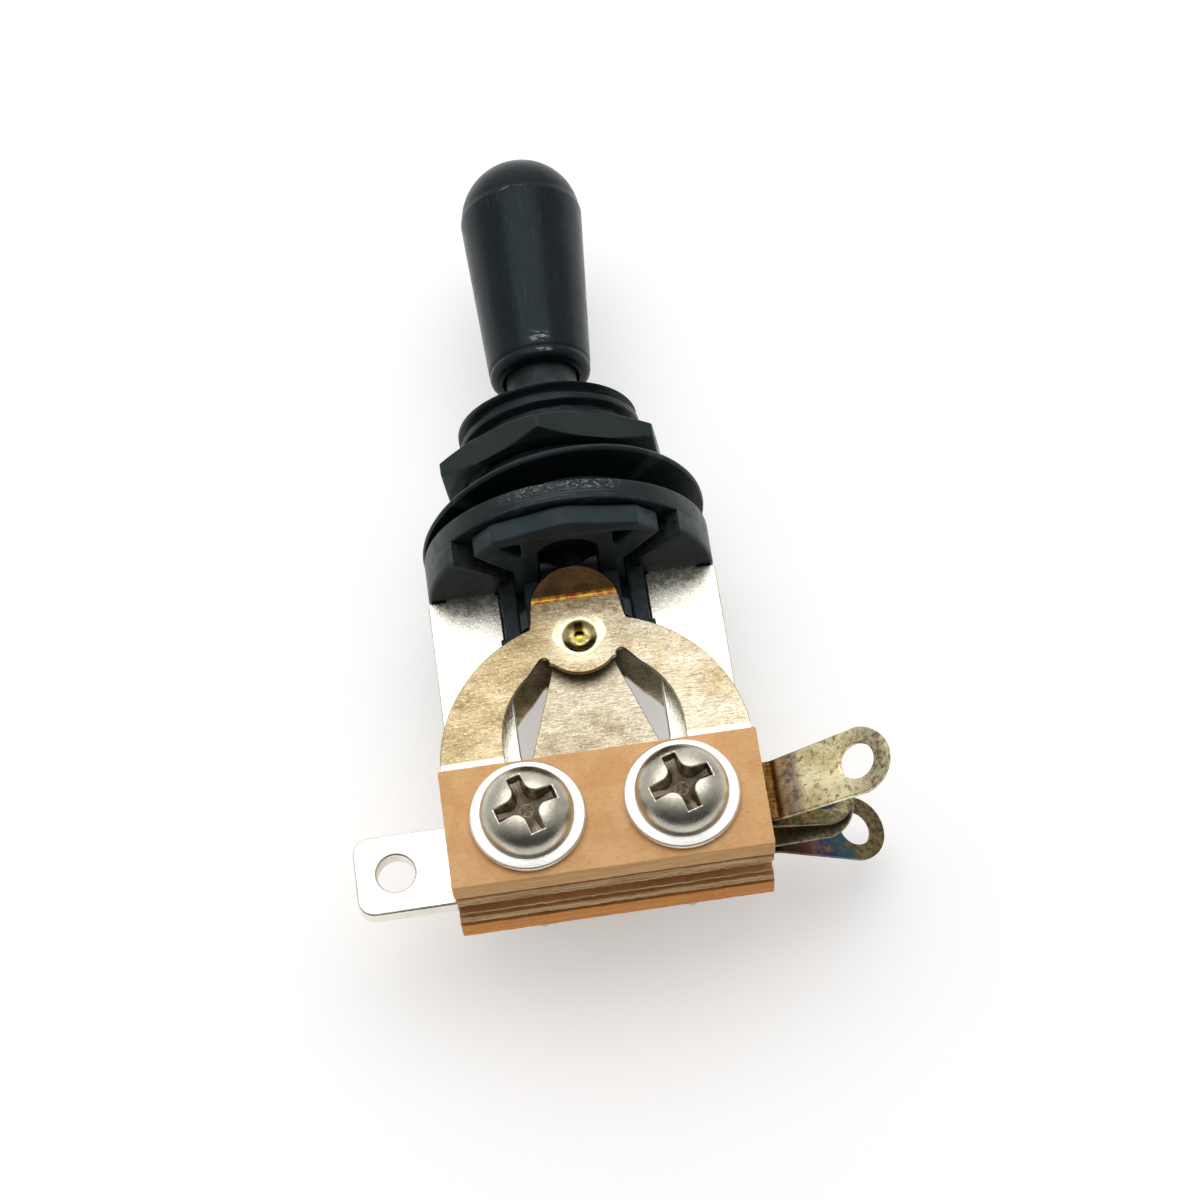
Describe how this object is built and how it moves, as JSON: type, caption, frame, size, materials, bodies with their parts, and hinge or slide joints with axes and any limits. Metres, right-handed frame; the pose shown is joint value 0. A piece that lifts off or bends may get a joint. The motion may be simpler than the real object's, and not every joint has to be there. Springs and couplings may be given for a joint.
{
  "type": "toggle selector switch",
  "caption": "Three-way leaf-contact toggle selector switch with a threaded plastic bushing, screwed phenolic contact stack and solder lugs.",
  "frame": {"origin": "bushing axis at the flange face that meets the panel", "axes": "+Y out along the lever and the bushing thread, +Z normal to the contact leaves towards the side seen in the picture, +X the side of the contact lugs"},
  "size_m": [0.0335, 0.0538, 0.0186],
  "materials": {
    "black_plastic": "satin",
    "washer_plastic": "satin",
    "grey_plastic": "satin",
    "lever_plastic": "gloss",
    "knob_plastic": "semi-gloss",
    "steel": "ground",
    "nickel_plate": "bright nickel plate",
    "spring_brass": "brushed, lightly tarnished",
    "contact_rivet": "bright",
    "phenolic": "sawn phenolic board",
    "nickel_screw": "nickel plate",
    "sleeve": "natural nylon"
  },
  "bodies": {
    "body": {"bushing_body": "black_plastic", "lever_retainer": "grey_plastic", "pivot_pin": "steel", "frame_plate": "nickel_plate", "front_leaf_terminal": "spring_brass", "rear_leaf_terminal": "spring_brass", "front_contact_tongue": "spring_brass", "rear_contact_tongue": "spring_brass", "front_tongue_contact": "contact_rivet", "rear_tongue_contact": "contact_rivet", "front_thin_insulator": "phenolic", "rear_thin_insulator": "phenolic", "front_spacer_board": "phenolic", "rear_spacer_board": "phenolic", "front_outer_board": "phenolic", "rear_outer_board": "phenolic", "clamp_screw_left": "nickel_screw", "clamp_screw_right": "nickel_screw", "clamp_nut_left": "nickel_screw", "clamp_nut_right": "nickel_screw", "screw_washer_left": "nickel_plate", "screw_washer_right": "nickel_plate", "nut_washer_left": "nickel_plate", "nut_washer_right": "nickel_plate", "insulating_sleeve_left": "sleeve", "insulating_sleeve_right": "sleeve"},
    "lever": {"lever": "lever_plastic", "lever_knob": "knob_plastic"},
    "front_leaf": {"front_contact_leaf": "spring_brass", "front_leaf_contact": "contact_rivet"},
    "rear_leaf": {"rear_contact_leaf": "spring_brass", "rear_leaf_contact": "contact_rivet"},
    "washer": {"panel_washer": "washer_plastic"},
    "nut": {"hex_nut": "black_plastic"}
  },
  "joints": [
    {"name": "lever_rock", "type": "hinge", "parent": "body", "child": "lever", "pos_m": [0, -0.003, 0], "axis": [1, 0, 0], "range_deg": [-10, 10]},
    {"name": "front_leaf_flex", "type": "hinge", "parent": "body", "child": "front_leaf", "pos_m": [0, -0.0153, 0.00222], "axis": [1, 0, 0], "range_deg": [-1.9, 1.9]},
    {"name": "rear_leaf_flex", "type": "hinge", "parent": "body", "child": "rear_leaf", "pos_m": [0, -0.0153, -0.00222], "axis": [1, 0, 0], "range_deg": [-1.9, 1.9]},
    {"name": "washer_travel", "type": "slide", "parent": "body", "child": "washer", "axis": [0, 1, 0], "range_m": [0, 0.0025]},
    {"name": "nut_turn", "type": "hinge", "parent": "washer", "child": "nut", "pos_m": [0, 0.005, 0], "axis": [0, 1, 0], "range_deg": [0, 720]}
  ],
  "couplings": [
    {"joint": "front_leaf_flex", "follows": "lever_rock", "ratio": -0.19},
    {"joint": "rear_leaf_flex", "follows": "lever_rock", "ratio": -0.19},
    {"joint": "nut_turn", "follows": "washer_travel", "rad_per_m": 5026.5}
  ]
}
